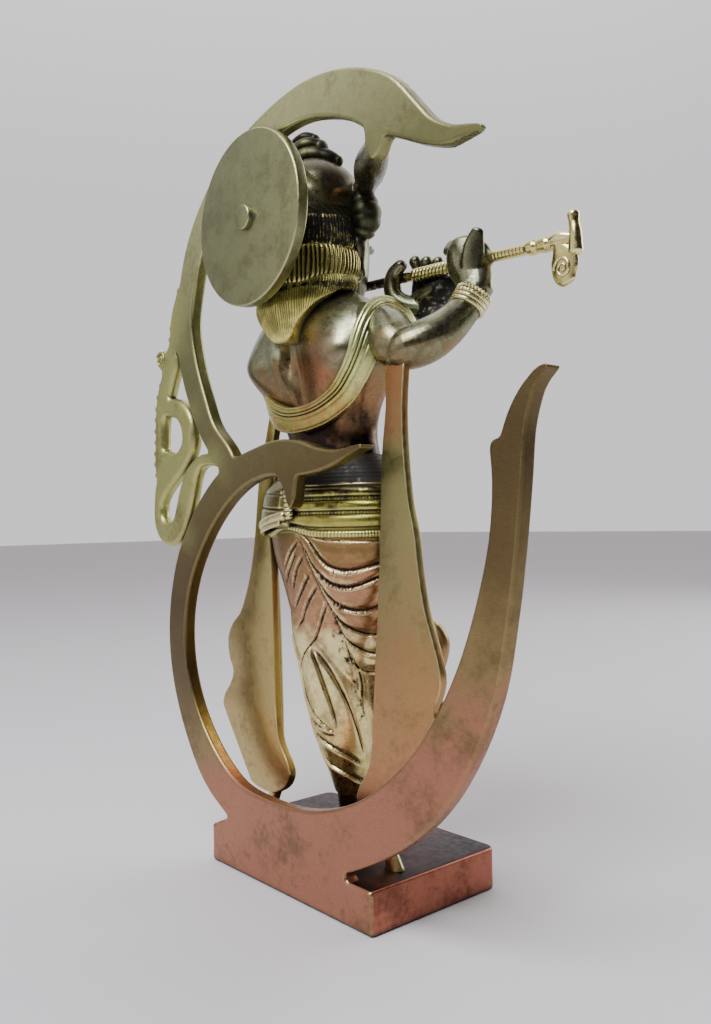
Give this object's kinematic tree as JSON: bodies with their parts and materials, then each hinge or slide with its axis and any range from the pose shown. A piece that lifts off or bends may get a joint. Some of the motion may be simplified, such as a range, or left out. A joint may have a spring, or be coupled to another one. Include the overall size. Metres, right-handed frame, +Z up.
{
  "type": "krishna statue",
  "caption": "Cast brass figure of Krishna playing a flute, standing on a plinth before a flat openwork frame shaped as an Om sign, with a round halo disc riveted behind the head.",
  "frame": {"origin": "middle of the plinth's underside, which stands on the shelf", "axes": "+Z up, -Y the way the figure faces, +X towards the figure's left; the frame's flat back is the plane at the plinth's +Y side"},
  "size_m": [0.206, 0.0653, 0.2755],
  "materials": {
    "frame_brass": "brushed, with a coppery patina low down",
    "figure_brass": "worn dark bronze patina, bright on the edges",
    "disc_brass": "brushed and pitted, grey-green",
    "flute_brass": "bright, worn"
  },
  "bodies": {
    "root": {"om_frame": "frame_brass", "krishna_figure": "figure_brass", "halo_disc": "disc_brass", "halo_rivet": "disc_brass", "flute": "flute_brass"}
  },
  "joints": []
}
